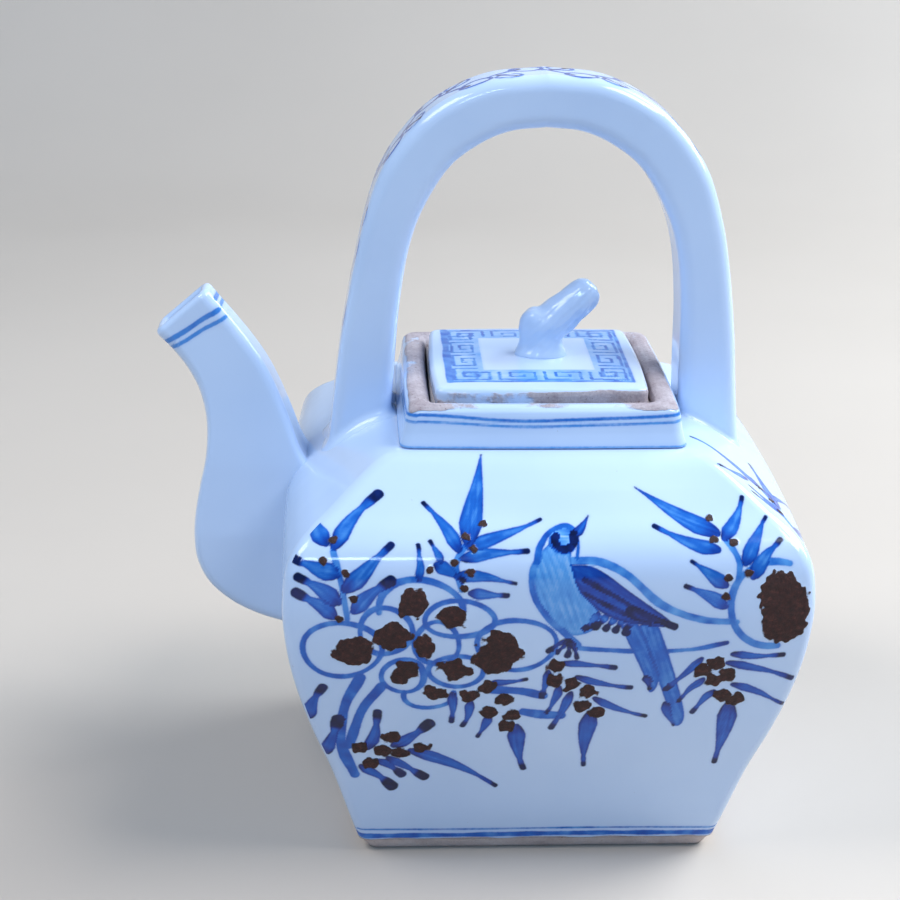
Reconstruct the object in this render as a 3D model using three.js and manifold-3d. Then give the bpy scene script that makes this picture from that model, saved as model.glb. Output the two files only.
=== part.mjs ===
// Four-sided porcelain teapot with a fixed overhead handle, a square spout and a lift-off lid.
// Millimetres, +Z up, spout towards -X, front wall towards -Y, foot standing on z = 0.
import * as THREE from "three";
import { mergeVertices } from "three/addons/utils/BufferGeometryUtils.js";
import Module from "manifold-3d";

const wasm = await Module();
wasm.setup();

// ---- driving dimensions -------------------------------------------------------------------
const JOINT_GAP = 0.3; // clearance kept between neighbouring pieces
const WALL_THICKNESS = 4.5;
const CORNER_RADIUS = 3.2; // upright corners of the body, seen from above
const CORNER_SEGMENTS = 6;
const SIDE_SEGMENTS = 6;
const DRILL_SEGMENTS = 12;
const EDGE_SEGMENTS = 4; // round the long edges of the handle and the spout
const WELD_DISTANCE = 1e-5;

// Body wall, outside face: [half-width, height] from the foot up to the lid opening.
const WALL_OUTLINE = [
  [48.9, 4.0],
  [51.3, 12.5],
  [55.6, 28.0],
  [60.1, 41.5],
  [63.8, 54.5],
  [66.2, 66.0],
  [67.4, 77.0],
  [67.3, 84.5],
  [66.4, 91.0],
  [64.3, 95.6],
  [60.6, 99.4],
  [55.6, 103.0],
  [49.2, 107.9],
  [44.6, 111.0],
  [40.8, 112.5],
  [36.8, 113.0],
  [31.0, 113.1],
];
const WALL_STEPS = 32;
const OPENING_HALF = 31.0;
const INSIDE_MARGIN_ACROSS = 1.0; // the inside face stops this far short of the lid opening
const INSIDE_MARGIN_UP = 2.0; // and this far above the foot of the wall
const MITRE_REACH = 90.0; // the wedge that cuts out one wall is wider and taller than the body
const MITRE_HEIGHT = 130.0;

// How far the middle of each wall stands out beyond its corners: [height, swell].
const WALL_SWELL = [
  [8.0, 0.0],
  [45.0, 0.9],
  [80.0, 1.5],
  [98.0, 2.0],
  [107.0, 1.7],
  [113.0, 0.3],
];
const COLLAR_SWELL = 0.5;
const LID_SWELL = 0.8;

const FOOT_TOP = 3.7;
const FOOT_OUTLINE = [
  [41.2, 0.0],
  [46.0, 0.0],
  [46.8, 0.6],
  [48.3, FOOT_TOP],
  [40.2, FOOT_TOP],
  [40.2, 0.8],
];

const BASE_HALF = 44.0;
const BASE_BOTTOM = 4.0;
const BASE_TOP = 8.5;
const BASE_CORNER = CORNER_RADIUS - 1.0;

const COLLAR_OUTLINE = [
  [29.4, 113.4],
  [37.3, 113.4],
  [36.6, 117.0],
  [35.9, 121.2],
  [35.5, 122.6],
  [34.5, 123.5],
  [33.0, 123.8],
  [31.2, 123.6],
  [29.9, 122.9],
  [29.4, 121.6],
];

const LEDGE_OUTER = 29.1;
const LEDGE_INNER = 25.2;
const LEDGE_BOTTOM = 117.4;
const LEDGE_TOP = 121.0;
const LEDGE_CORNER = CORNER_RADIUS - 0.3;

const LID_HALF = 28.2;
const LID_BOTTOM = 121.3;
const LID_EDGE_TOP = 126.1;
const LID_CENTRE_TOP = 127.2;
const LID_CHAMFER = 0.8;
const LID_SHOULDER_INSET = 8.0; // the lid rises gently up to here, then evens out to its centre
const LID_SHOULDER_RISE = 0.7;
const LID_CORNER = CORNER_RADIUS - 0.6;
const VENT_RADIUS = 1.4;
const VENT_OFFSET = 12.0;
const VENT_DRILL_LENGTH = 20.0;

const FLANGE_OUTER = 24.4;
const FLANGE_INNER = 20.6;
const FLANGE_BOTTOM = 114.2;
const FLANGE_CHAMFER = 0.7;
const FLANGE_CORNER = CORNER_RADIUS - 1.0;

// Twig knob: an upright stump with a shorter branch growing from its shoulder.
const KNOB_X = 1.8;
const STUMP_OUTLINE = [
  [0.0, 127.5],
  [7.8, 127.5],
  [7.0, 128.5],
  [6.3, 130.4],
  [6.0, 133.0],
  [5.9, 135.8],
  [5.3, 138.2],
  [3.4, 139.9],
  [0.0, 140.5],
];
const BRANCH_START = new THREE.Vector3(1.4, 0, 134.8);
const BRANCH_ANGLE = THREE.MathUtils.degToRad(48);
const BRANCH_OUTLINE = [
  [0.0, -4.6],
  [3.6, -3.4],
  [5.2, -0.6],
  [5.3, 3.0],
  [4.9, 8.0],
  [4.6, 13.4],
  [4.1, 16.3],
  [2.6, 18.4],
  [0.0, 19.0],
];
const KNOB_SEGMENTS = 28;

// Handle loop in the X-Z plane: half outlines [x, z] from the shoulder up to the crown.
const HANDLE_DEPTH = 20.0;
const HANDLE_EDGE = 3.4;
const HANDLE_LEAN = 1.1; // the upper loop leans this far away from the spout
const HANDLE_LEAN_LEVELS = [110, 165];
const HANDLE_OUTER = [
  [57.4, 101.0],
  [56.5, 106.0],
  [55.6, 114.0],
  [54.8, 122.0],
  [53.8, 132.0],
  [52.4, 142.0],
  [50.6, 153.0],
  [47.9, 166.0],
  [43.4, 179.5],
  [36.0, 190.4],
  [27.6, 197.8],
  [15.0, 203.4],
  [0.0, 205.0],
];
const HANDLE_INNER = [
  [39.4, 108.0],
  [38.8, 128.0],
  [38.1, 142.0],
  [36.2, 157.0],
  [32.7, 168.3],
  [25.8, 180.0],
  [18.0, 186.4],
  [9.6, 190.1],
  [0.0, 191.2],
];
const HANDLE_STEPS = 28;
const HANDLE_ROOT = 84.0; // the legs run on down to here before the body trims them

// Spout in the X-Z plane, from the root inside the body out to the pouring tip.
const SPOUT_UPPER = [
  [-52.0, 84.0],
  [-60.0, 94.0],
  [-64.3, 102.3],
  [-66.8, 109.4],
  [-69.8, 117.6],
  [-73.3, 125.2],
  [-77.0, 131.2],
  [-81.2, 137.0],
  [-85.4, 142.3],
  [-92.4, 151.0],
];
const SPOUT_LOWER = [
  [-52.0, 47.2],
  [-62.7, 49.2],
  [-70.6, 51.3],
  [-77.6, 53.8],
  [-84.4, 57.6],
  [-90.3, 63.2],
  [-93.5, 70.0],
  [-94.2, 77.0],
  [-93.7, 84.0],
  [-92.2, 92.0],
  [-90.4, 100.6],
  [-90.0, 110.2],
  [-91.6, 118.4],
  [-94.7, 124.8],
  [-98.6, 130.0],
  [-106.8, 138.8],
];
const SPOUT_STEPS = 24;
const SPOUT_EDGE = 2.8;
const SPOUT_WALL = 3.6;
const CHANNEL_EDGE = SPOUT_EDGE - 1.0;
const SPOUT_DEPTH = 22.0; // across the root; the taper below narrows it towards the tip
const SPOUT_TAPER = [
  [78.0, 1.0],
  [98.0, 0.88],
  [118.0, 0.7],
  [136.0, 0.55],
  [150.0, 0.5],
];
const TIP_CENTRE = new THREE.Vector2(-96.2, 140.8); // middle of the cut end
const TIP_ANGLE = THREE.MathUtils.degToRad(41.5);
const TIP_CUTTER_SIZE = 40.0;
const STRAINER_RADIUS = 2.2;
const STRAINER_DRILL_X = -62.0; // middle of the drill, inside the spout wall
const STRAINER_DRILL_LENGTH = 30.0;
const STRAINER_HOLES = [
  [-4.6, 62.0],
  [4.6, 62.0],
  [0.0, 67.0],
  [-4.6, 72.0],
  [4.6, 72.0],
  [0.0, 77.0],
  [-4.6, 82.0],
  [4.6, 82.0],
  [0.0, 87.0],
];

// ---- materials ----------------------------------------------------------------------------
const glaze = () => new THREE.MeshStandardMaterial({ color: 0xd3e2f3, roughness: 0.14, metalness: 0 });
const biscuit = () => new THREE.MeshStandardMaterial({ color: 0xb9aaa4, roughness: 0.8, metalness: 0 });

// ---- helpers ------------------------------------------------------------------------------
const toVectors = (points) => points.map(([x, y]) => new THREE.Vector2(x, y));

const smooth = (points, steps) => new THREE.SplineCurve(toVectors(points)).getPoints(steps);

function toSolid(geometry) {
  const bare = geometry.clone();
  bare.deleteAttribute("normal");
  bare.deleteAttribute("uv");
  const merged = mergeVertices(bare, WELD_DISTANCE);
  return new wasm.Manifold(
    new wasm.Mesh({
      numProp: 3,
      vertProperties: new Float32Array(merged.attributes.position.array),
      triVerts: new Uint32Array(merged.index.array),
    }),
  );
}

function toGeometry(solid) {
  const mesh = solid.getMesh();
  const geometry = new THREE.BufferGeometry();
  geometry.setAttribute("position", new THREE.BufferAttribute(mesh.vertProperties, 3));
  geometry.setIndex(new THREE.BufferAttribute(mesh.triVerts, 1));
  geometry.computeVertexNormals();
  return geometry;
}

// Straight-line lookup in a table of [level, value] rows.
function lookUp(table, level) {
  const after = table.findIndex(([start]) => start > level);
  if (after === 0) {
    return table[0][1];
  }
  if (after < 0) {
    return table[table.length - 1][1];
  }
  const [low, first] = table[after - 1];
  const [high, second] = table[after];
  return THREE.MathUtils.mapLinear(level, low, high, first, second);
}

// One point of a swelling, round-cornered square: step counts round its corner and side points.
function squarePoint(half, cornerRadius, swell, step) {
  const perQuarter = CORNER_SEGMENTS + SIDE_SEGMENTS;
  const quarter = Math.floor(step / perQuarter) % 4;
  const local = step % perQuarter;
  const radius = Math.min(cornerRadius, half * 0.5);
  const flat = half - radius;
  const point = new THREE.Vector2();
  if (local <= CORNER_SEGMENTS) {
    const angle = (local / CORNER_SEGMENTS) * (Math.PI / 2);
    point.set(flat + radius * Math.cos(angle), flat + radius * Math.sin(angle));
  } else {
    const along = 1 - (2 * (local - CORNER_SEGMENTS)) / SIDE_SEGMENTS;
    point.set(flat * along, half + swell * (1 - along * along));
  }
  return point.rotateAround(new THREE.Vector2(0, 0), quarter * (Math.PI / 2));
}

// Turns a profile about Z and squares it off: every ring becomes a swelling square.
function squareLathe(profile, cornerRadius, swellAt = () => 0) {
  const count = 4 * (CORNER_SEGMENTS + SIDE_SEGMENTS);
  const geometry = new THREE.LatheGeometry(profile, count);
  const position = geometry.attributes.position;
  for (let ring = 0; ring <= count; ring += 1) {
    profile.forEach(({ x, y }, index) => {
      const swell = x > 0 ? swellAt(y) : 0;
      const point = squarePoint(x, cornerRadius, swell, ring % count);
      position.setXYZ(ring * profile.length + index, point.x, point.y, y);
    });
  }
  return geometry;
}

const closed = (points) => [...points, points[0].clone()];

// Solid slab standing in the X-Z plane, centred on y = 0, with rounded long edges.
function extrudeSide(points, depth, edge) {
  const geometry = new THREE.ExtrudeGeometry(new THREE.Shape(points), {
    depth: depth - 2 * edge,
    bevelEnabled: true,
    bevelThickness: edge,
    bevelSize: edge,
    bevelOffset: -edge,
    bevelSegments: EDGE_SEGMENTS,
    steps: 1,
  });
  geometry.translate(0, 0, -(depth - 2 * edge) / 2);
  geometry.rotateX(Math.PI / 2);
  return geometry;
}

function taperSpout(geometry) {
  const position = geometry.attributes.position;
  for (let i = 0; i < position.count; i += 1) {
    position.setY(i, position.getY(i) * lookUp(SPOUT_TAPER, position.getZ(i)));
  }
  return geometry;
}

// Moves every point of a smooth outline sideways by a distance, to its left when positive.
function offsetCurve(points, steps, distance) {
  const curve = new THREE.SplineCurve(toVectors(points));
  return Array.from({ length: steps + 1 }, (_, i) => {
    const tangent = curve.getTangent(i / steps);
    return curve.getPoint(i / steps).add(new THREE.Vector2(-tangent.y, tangent.x).multiplyScalar(distance));
  });
}

// ---- body ---------------------------------------------------------------------------------
const outside = smooth(WALL_OUTLINE, WALL_STEPS);
const inside = offsetCurve(WALL_OUTLINE, WALL_STEPS / 2, WALL_THICKNESS).filter(
  ({ x, y }) => x > OPENING_HALF + INSIDE_MARGIN_ACROSS && y > BASE_BOTTOM + INSIDE_MARGIN_UP,
);
const wallProfile = closed([
  ...outside,
  new THREE.Vector2(OPENING_HALF, WALL_OUTLINE[WALL_OUTLINE.length - 1][1] - WALL_THICKNESS),
  ...inside.reverse(),
  new THREE.Vector2(BASE_HALF + JOINT_GAP, BASE_BOTTOM),
]);
const wallSwell = (height) => lookUp(WALL_SWELL, height);
const shell = toSolid(squareLathe(wallProfile, CORNER_RADIUS, wallSwell));

// One side of the shell, mitred at 45 degrees; turn 0 is the front wall.
function mitredWall(turn) {
  const tip = -JOINT_GAP * Math.SQRT1_2;
  const wedge = new THREE.ExtrudeGeometry(
    new THREE.Shape([
      new THREE.Vector2(0, tip),
      new THREE.Vector2(-MITRE_REACH, tip - MITRE_REACH),
      new THREE.Vector2(MITRE_REACH, tip - MITRE_REACH),
    ]),
    { depth: MITRE_HEIGHT, bevelEnabled: false },
  );
  wedge.rotateZ(turn);
  return shell.intersect(toSolid(wedge));
}

function strainerHole([y, z]) {
  const drill = new THREE.CylinderGeometry(
    STRAINER_RADIUS,
    STRAINER_RADIUS,
    STRAINER_DRILL_LENGTH,
    DRILL_SEGMENTS,
  );
  drill.rotateZ(Math.PI / 2);
  drill.translate(STRAINER_DRILL_X, y, z);
  return toSolid(drill);
}

const frontWall = mitredWall(0);
const rearWall = mitredWall(Math.PI / 2);
const backWall = mitredWall(Math.PI);
const spoutWall = STRAINER_HOLES.reduce(
  (wall, hole) => wall.subtract(strainerHole(hole)),
  mitredWall(-Math.PI / 2),
);

const footRim = squareLathe(closed(toVectors(FOOT_OUTLINE)), CORNER_RADIUS);
const baseSlab = squareLathe(
  toVectors([
    [0, BASE_BOTTOM],
    [BASE_HALF, BASE_BOTTOM],
    [BASE_HALF, BASE_TOP],
    [0, BASE_TOP],
  ]),
  BASE_CORNER,
);
const collar = squareLathe(closed(toVectors(COLLAR_OUTLINE)), CORNER_RADIUS, () => COLLAR_SWELL);
const ledge = squareLathe(
  closed(
    toVectors([
      [LEDGE_INNER, LEDGE_BOTTOM],
      [LEDGE_OUTER, LEDGE_BOTTOM],
      [LEDGE_OUTER, LEDGE_TOP],
      [LEDGE_INNER, LEDGE_TOP],
    ]),
  ),
  LEDGE_CORNER,
);

// Everything inside the body's outer face, grown by the joint gap: trims handle and spout.
const envelope = toSolid(
  squareLathe(
    [
      new THREE.Vector2(0, BASE_BOTTOM - 1),
      ...offsetCurve(WALL_OUTLINE, WALL_STEPS, -JOINT_GAP),
      new THREE.Vector2(0, WALL_OUTLINE[WALL_OUTLINE.length - 1][1] + JOINT_GAP),
    ],
    CORNER_RADIUS + JOINT_GAP,
    wallSwell,
  ),
);

// ---- handle -------------------------------------------------------------------------------
const mirrored = (points) => points.map((point) => new THREE.Vector2(-point.x, point.y)).reverse();
const crown = smooth(HANDLE_OUTER, HANDLE_STEPS);
const arch = smooth(HANDLE_INNER, HANDLE_STEPS);
const halfLoop = [
  ...arch.reverse(),
  new THREE.Vector2(arch[arch.length - 1].x, HANDLE_ROOT),
  new THREE.Vector2(crown[0].x, HANDLE_ROOT),
  ...crown,
];
const handleOutline = [...halfLoop, ...mirrored(halfLoop).slice(1, -1)].map(
  ({ x, y }) => new THREE.Vector2(x + HANDLE_LEAN * THREE.MathUtils.smoothstep(y, ...HANDLE_LEAN_LEVELS), y),
);
const handle = toSolid(extrudeSide(handleOutline, HANDLE_DEPTH, HANDLE_EDGE)).subtract(envelope);

// ---- spout --------------------------------------------------------------------------------
const spoutOutline = [...smooth(SPOUT_LOWER, SPOUT_STEPS), ...smooth(SPOUT_UPPER, SPOUT_STEPS).reverse()];
const channelOutline = [
  ...offsetCurve(SPOUT_LOWER, SPOUT_STEPS, -SPOUT_WALL),
  ...offsetCurve(SPOUT_UPPER, SPOUT_STEPS, SPOUT_WALL).reverse(),
];
const spoutBlank = toSolid(taperSpout(extrudeSide(spoutOutline, SPOUT_DEPTH, SPOUT_EDGE)));
const channel = toSolid(
  taperSpout(extrudeSide(channelOutline, SPOUT_DEPTH - 2 * SPOUT_WALL, CHANNEL_EDGE)),
);

// Block lying beyond the cut plane of the pouring tip.
function tipCutter() {
  const block = new THREE.BoxGeometry(TIP_CUTTER_SIZE, TIP_CUTTER_SIZE, TIP_CUTTER_SIZE);
  block.translate(0, 0, TIP_CUTTER_SIZE / 2);
  block.rotateY(-TIP_ANGLE);
  block.translate(TIP_CENTRE.x, 0, TIP_CENTRE.y);
  return toSolid(block);
}

const spout = spoutBlank.subtract(tipCutter()).subtract(channel).subtract(envelope);

// ---- lid ----------------------------------------------------------------------------------
const lidBlank = squareLathe(
  toVectors([
    [0, LID_BOTTOM],
    [LID_HALF - LID_CHAMFER, LID_BOTTOM],
    [LID_HALF, LID_BOTTOM + LID_CHAMFER],
    [LID_HALF, LID_EDGE_TOP - LID_CHAMFER],
    [LID_HALF - LID_CHAMFER, LID_EDGE_TOP],
    [LID_HALF - LID_SHOULDER_INSET, LID_EDGE_TOP + LID_SHOULDER_RISE],
    [LID_HALF / 2, LID_CENTRE_TOP],
    [0, LID_CENTRE_TOP],
  ]),
  LID_CORNER,
  () => LID_SWELL,
);
const vent = new THREE.CylinderGeometry(VENT_RADIUS, VENT_RADIUS, VENT_DRILL_LENGTH, DRILL_SEGMENTS);
vent.rotateX(Math.PI / 2);
vent.translate(0, VENT_OFFSET, LID_CENTRE_TOP);
const lidPlate = toSolid(lidBlank).subtract(toSolid(vent));

const flange = squareLathe(
  closed(
    toVectors([
      [FLANGE_INNER, FLANGE_BOTTOM],
      [FLANGE_OUTER - FLANGE_CHAMFER, FLANGE_BOTTOM],
      [FLANGE_OUTER, FLANGE_BOTTOM + FLANGE_CHAMFER],
      [FLANGE_OUTER, LID_BOTTOM - JOINT_GAP],
      [FLANGE_INNER, LID_BOTTOM - JOINT_GAP],
    ]),
  ),
  FLANGE_CORNER,
);

const turned = (outline) => new THREE.LatheGeometry(toVectors(outline), KNOB_SEGMENTS).rotateX(Math.PI / 2);
const stump = turned(STUMP_OUTLINE).translate(KNOB_X, 0, 0);
const branch = turned(BRANCH_OUTLINE)
  .rotateY(BRANCH_ANGLE)
  .translate(BRANCH_START.x, BRANCH_START.y, BRANCH_START.z);
const knob = toSolid(stump).add(toSolid(branch));

// ---- assembly -----------------------------------------------------------------------------
function piece(name, shape, material) {
  const geometry = shape.isBufferGeometry ? shape : toGeometry(shape);
  const mesh = new THREE.Mesh(geometry, material);
  mesh.name = name;
  return mesh;
}

const pot = new THREE.Group();
pot.add(
  piece("foot_rim", footRim, biscuit()),
  piece("base_slab", baseSlab, glaze()),
  piece("front_wall", frontWall, glaze()),
  piece("back_wall", backWall, glaze()),
  piece("spout_wall", spoutWall, glaze()),
  piece("rear_wall", rearWall, glaze()),
  piece("neck_collar", collar, glaze()),
  piece("lid_ledge", ledge, biscuit()),
  piece("spout", spout, glaze()),
  piece("handle", handle, glaze()),
);

const lid = new THREE.Group();
lid.add(
  piece("lid_plate", lidPlate, glaze()),
  piece("lid_flange", flange, biscuit()),
  piece("lid_knob", knob, glaze()),
);

const teapot = new THREE.Group();
teapot.add(pot, lid);

// The origin is the middle of the bounding box on the ground, so the spout shifts the body.
const bounds = new THREE.Box3().setFromObject(teapot);
teapot.position.x = -(bounds.min.x + bounds.max.x) / 2;

export default teapot;
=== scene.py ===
"""Looks of the four-sided porcelain teapot: glaze, brush painting, bare clay, light and camera.

Shapes are worked out in millimetres about the pot's own upright axis, with +Z up, the spout towards
-X and the front wall towards -Y, and are moved into the shared frame when each piece is made.
"""

import math

import bmesh
import bpy
import numpy as np
from mathutils import Matrix, Vector


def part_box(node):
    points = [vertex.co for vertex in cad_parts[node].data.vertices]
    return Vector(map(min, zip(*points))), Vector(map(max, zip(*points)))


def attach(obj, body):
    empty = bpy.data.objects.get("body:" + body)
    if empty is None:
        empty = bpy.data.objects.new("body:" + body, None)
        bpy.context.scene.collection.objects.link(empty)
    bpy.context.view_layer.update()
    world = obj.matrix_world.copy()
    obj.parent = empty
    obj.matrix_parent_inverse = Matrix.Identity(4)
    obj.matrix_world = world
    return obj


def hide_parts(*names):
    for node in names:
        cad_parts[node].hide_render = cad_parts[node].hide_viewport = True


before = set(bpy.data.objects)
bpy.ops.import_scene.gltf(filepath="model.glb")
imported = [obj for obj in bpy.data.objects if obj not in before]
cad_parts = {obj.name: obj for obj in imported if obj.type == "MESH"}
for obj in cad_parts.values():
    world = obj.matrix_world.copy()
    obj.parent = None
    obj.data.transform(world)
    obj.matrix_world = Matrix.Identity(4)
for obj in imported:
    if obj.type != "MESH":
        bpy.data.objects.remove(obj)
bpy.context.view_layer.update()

MM = 0.001
front_low, front_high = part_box("front_wall")
AXIS_X = (front_low.x + front_high.x) / 2  # the pot's upright axis in the shared frame, metres

# ---- driving dimensions, millimetres ------------------------------------------------------
WALL_OUTLINE = [  # [half-width, height]
    (48.9, 4.0), (51.3, 12.5), (55.6, 28.0), (60.1, 41.5), (63.8, 54.5), (66.2, 66.0),
    (67.4, 77.0), (67.3, 84.5), (66.4, 91.0), (64.3, 95.6), (60.6, 99.4), (55.6, 103.0),
    (49.2, 107.9), (44.6, 111.0), (40.8, 112.5), (36.8, 113.0), (31.0, 113.1),
]
WALL_SWELL = [(8, 0.0), (45, 0.9), (80, 1.5), (98, 2.0), (107, 1.7), (113, 0.3)]  # [height, swell]
WALL_THICKNESS = 4.5
CORNER_RADIUS = 3.2
CORNER_STEPS = 6  # steps round half of an upright corner
INNER_ROWS = 36  # the walls' inside faces are plain, so they need few points
INNER_COLUMNS = 12
SHOULDER_FROM = 84.5  # above this height the wall only closes in
EMBED = 2.2  # how far the handle and spout run into the wall

FOOT_OUTLINE = [(41.2, 0.4), (41.6, 0.0), (45.6, 0.0), (46.5, 0.3), (46.9, 0.9), (48.2, 3.4),
                (48.6, 4.0), (40.6, 4.0), (40.4, 3.4)]

COLLAR_OUTLINE = [
    (29.4, 113.3), (37.6, 113.3), (37.4, 113.9), (36.6, 117.0), (35.9, 121.2), (35.5, 122.6),
    (34.5, 123.5), (33.0, 123.8), (31.2, 123.6), (29.9, 122.9), (29.4, 121.6),
]
COLLAR_SWELL = 0.5
COLLAR_PAINTED_FROM = 34.0  # the lines are on the outside only, this far from the axis

LID_OUTLINE = [
    (0.0, 121.3), (27.6, 121.3), (28.1, 121.8), (28.2, 125.0), (27.9, 125.9), (27.2, 126.4),
    (22.0, 126.8), (0.0, 127.3),
]
LID_PAINTED_FROM = 126.0  # the border is on the top face only, above this height
LID_CORNER = 2.4
LID_SWELL = 0.8
VENT_RADIUS = 1.4
VENT_OFFSET = 12.0

LATHE_STEPS = 40  # points round the knob's stump and branch
KNOB_X = 1.8
KNOB_Y = 1.4  # the stump is set a little behind the middle and is slightly oval
KNOB_OVAL = 0.84
STUMP_OUTLINE = [
    (0.0, 126.9), (7.6, 126.9), (7.1, 127.8), (6.5, 129.0), (6.1, 130.6), (6.0, 133.0),
    (5.9, 135.8), (5.3, 138.2), (3.4, 139.9), (0.0, 140.5),
]
BRANCH_START = (1.4, 0.0, 134.8)
BRANCH_ANGLE = math.radians(48)
BRANCH_OUTLINE = [
    (0.0, -4.6), (3.6, -3.4), (5.2, -0.6), (5.4, 3.0), (5.0, 8.0), (4.8, 12.4), (4.4, 15.0),
    (2.9, 16.9), (0.0, 17.5),
]

HANDLE_DEPTH = 20.0
HANDLE_EDGE = 3.6
HANDLE_LEAN = 1.1
HANDLE_LEAN_LEVELS = (110, 165)
HANDLE_OUTER = [
    (57.8, 99.4), (56.5, 106.0), (55.6, 114.0), (54.8, 122.0), (53.8, 132.0), (52.4, 142.0),
    (50.6, 153.0), (47.9, 166.0), (43.4, 179.5), (36.0, 190.4), (27.6, 197.8), (15.0, 203.4),
    (0.0, 205.0),
]
HANDLE_INNER = [
    (39.6, 110.4), (38.8, 128.0), (38.1, 142.0), (36.2, 157.0), (32.7, 168.3), (25.8, 180.0),
    (18.0, 186.4), (9.6, 190.1), (0.0, 191.2),
]

SPOUT_UPPER = [
    (-59.0, 93.0), (-60.6, 96.0), (-64.3, 102.3), (-66.8, 109.4), (-69.8, 117.6), (-73.3, 125.2),
    (-77.0, 131.2), (-81.2, 137.0), (-85.4, 142.3), (-88.3, 146.0),
]
SPOUT_LOWER = [
    (-60.6, 48.8), (-62.7, 49.2), (-70.6, 51.3), (-77.6, 53.8), (-84.4, 57.6), (-90.3, 63.2),
    (-93.5, 70.0), (-94.2, 77.0), (-93.7, 84.0), (-92.2, 92.0), (-90.4, 100.6), (-90.0, 110.2),
    (-91.6, 118.4), (-94.7, 124.8), (-98.6, 130.0), (-102.4, 133.9),
]
SPOUT_DEPTH = 22.0
SPOUT_TAPER = [(78, 1.0), (98, 0.88), (118, 0.7), (136, 0.55), (150, 0.5)]  # [height, share]
SPOUT_EDGE = 2.9
SPOUT_WALL = 3.2
LIP_RISE = 1.5
SPOUT_ROOT_TOP = 97.0  # below this height the spout's root is buried in the wall

BRUSH_EDGE = 1.0  # distance over which a stroke's edge field fades, each way
POINTED = 0.25  # dark pool at the end of a leaf that runs out to a point
CRUST = 0.22  # how far the iron paint stands proud of the glaze


# ---- curves and noise ---------------------------------------------------------------------
def smooth_curve(points, steps):
    """A smooth curve through the points, resampled to equal steps along its length."""
    p = np.array(points, float)
    p = np.vstack([2 * p[0] - p[1], p, 2 * p[-1] - p[-2]])
    fine = []
    for k in range(1, len(p) - 2):
        w = np.linspace(0, 1, 24, endpoint=False)[:, None]
        a, b, c, d = p[k - 1], p[k], p[k + 1], p[k + 2]
        fine.append(
            0.5 * (2 * b + (c - a) * w + (2 * a - 5 * b + 4 * c - d) * w**2
                   + (3 * b - a - 3 * c + d) * w**3)
        )
    return resample(np.vstack([*fine, p[-2]]), steps)


def length_along(curve):
    """Distance along a curve from its start to each of its points."""
    return np.concatenate([[0], np.cumsum(np.linalg.norm(np.diff(curve, axis=0), axis=1))])


def resample(curve, steps):
    run = length_along(curve)
    at = np.linspace(0, run[-1], steps + 1)
    return np.column_stack([np.interp(at, run, curve[:, i]) for i in range(curve.shape[1])])


def look_up(table, level):
    return np.interp(level, [row[0] for row in table], [row[1] for row in table])


def ease(low, high, value):
    t = np.clip((value - low) / (high - low), 0, 1)
    return t * t * (3 - 2 * t)


def ripple(x, y, scale, seed):
    """Smooth noise between about -1 and 1 whose bumps are `scale` mm across."""
    rng = np.random.default_rng(seed)
    total = np.zeros(np.shape(x))
    for _ in range(6):
        angle, phase = rng.uniform(0, 2 * math.pi, 2)
        wave = 2 * math.pi / (scale * rng.uniform(0.6, 1.8))
        total += np.sin(wave * (x * math.cos(angle) + y * math.sin(angle)) + phase)
    return total / 3


WALL_CURVE = smooth_curve(WALL_OUTLINE, 640)
WALL_RUN = length_along(WALL_CURVE)
WALL_LENGTH = WALL_RUN[-1]


def wall_half(run):
    return np.interp(run, WALL_RUN, WALL_CURVE[:, 0])


def wall_level(run):
    return np.interp(run, WALL_RUN, WALL_CURVE[:, 1])


def wall_reach(across, level):
    """Distance of a wall's outside face from the pot's axis, at a place across it and a height."""
    half = np.interp(level, WALL_CURVE[:, 1], WALL_CURVE[:, 0])
    t = np.clip(across / (half - CORNER_RADIUS), -1, 1)
    return half + look_up(WALL_SWELL, level) * (1 - t**2)


def shoulder_level(x, y):
    """Height of the shoulder over a point."""
    upper = WALL_CURVE[WALL_CURVE[:, 1] >= SHOULDER_FROM]
    far = np.maximum(np.abs(x), np.abs(y))
    near = np.minimum(np.abs(x), np.abs(y))
    level = np.interp(-far, -upper[:, 0], upper[:, 1])
    for _ in range(3):
        bulge = wall_reach(near, level) - np.interp(level, WALL_CURVE[:, 1], WALL_CURVE[:, 0])
        level = np.interp(-(far - bulge), -upper[:, 0], upper[:, 1])
    return level


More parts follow.
